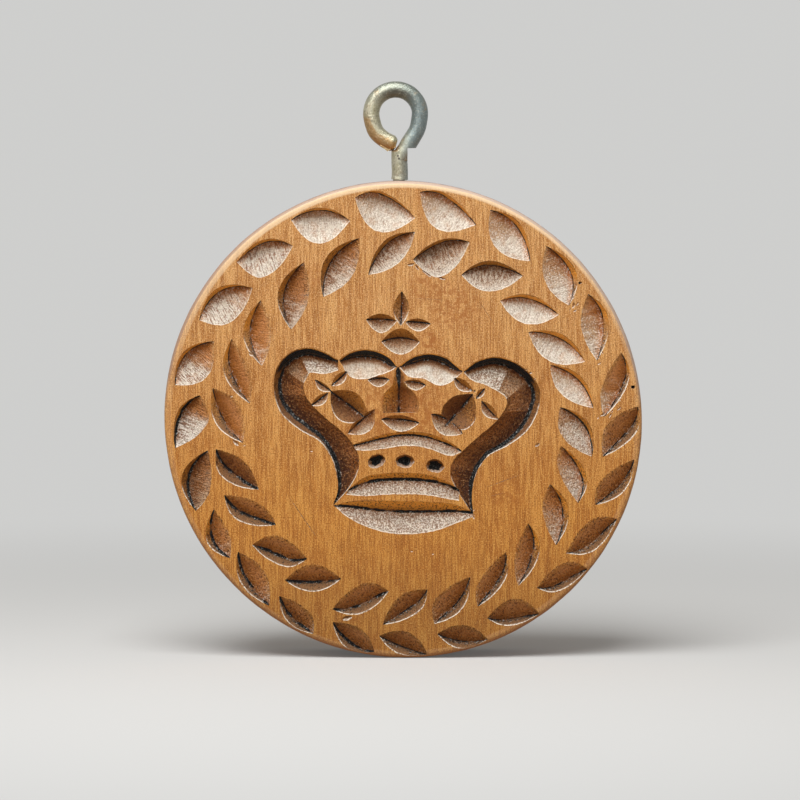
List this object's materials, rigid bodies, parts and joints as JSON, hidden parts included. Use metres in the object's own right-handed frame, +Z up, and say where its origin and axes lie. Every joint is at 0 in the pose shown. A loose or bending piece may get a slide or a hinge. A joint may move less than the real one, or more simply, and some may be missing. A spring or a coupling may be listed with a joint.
{
  "type": "wooden cookie mould",
  "caption": "Round turned wooden cookie mould, its face carved with a crown inside a wreath of leaves, hanging from a steel screw eye in its edge.",
  "frame": {"origin": "the inside top of the screw eye's ring, where the mould hangs on a nail, in the middle of the disc's thickness", "axes": "+Z up as it hangs, from the disc to the eye; -Y out of the carved face; +X to the right, seen from the front"},
  "size_m": [0.1, 0.018, 0.1209],
  "materials": {
    "carved_wood": "satin, worn by hand",
    "tarnished_steel": "dull, tarnished"
  },
  "bodies": {
    "root": {"mould_body": "carved_wood", "screw_eye": "tarnished_steel"}
  },
  "joints": []
}
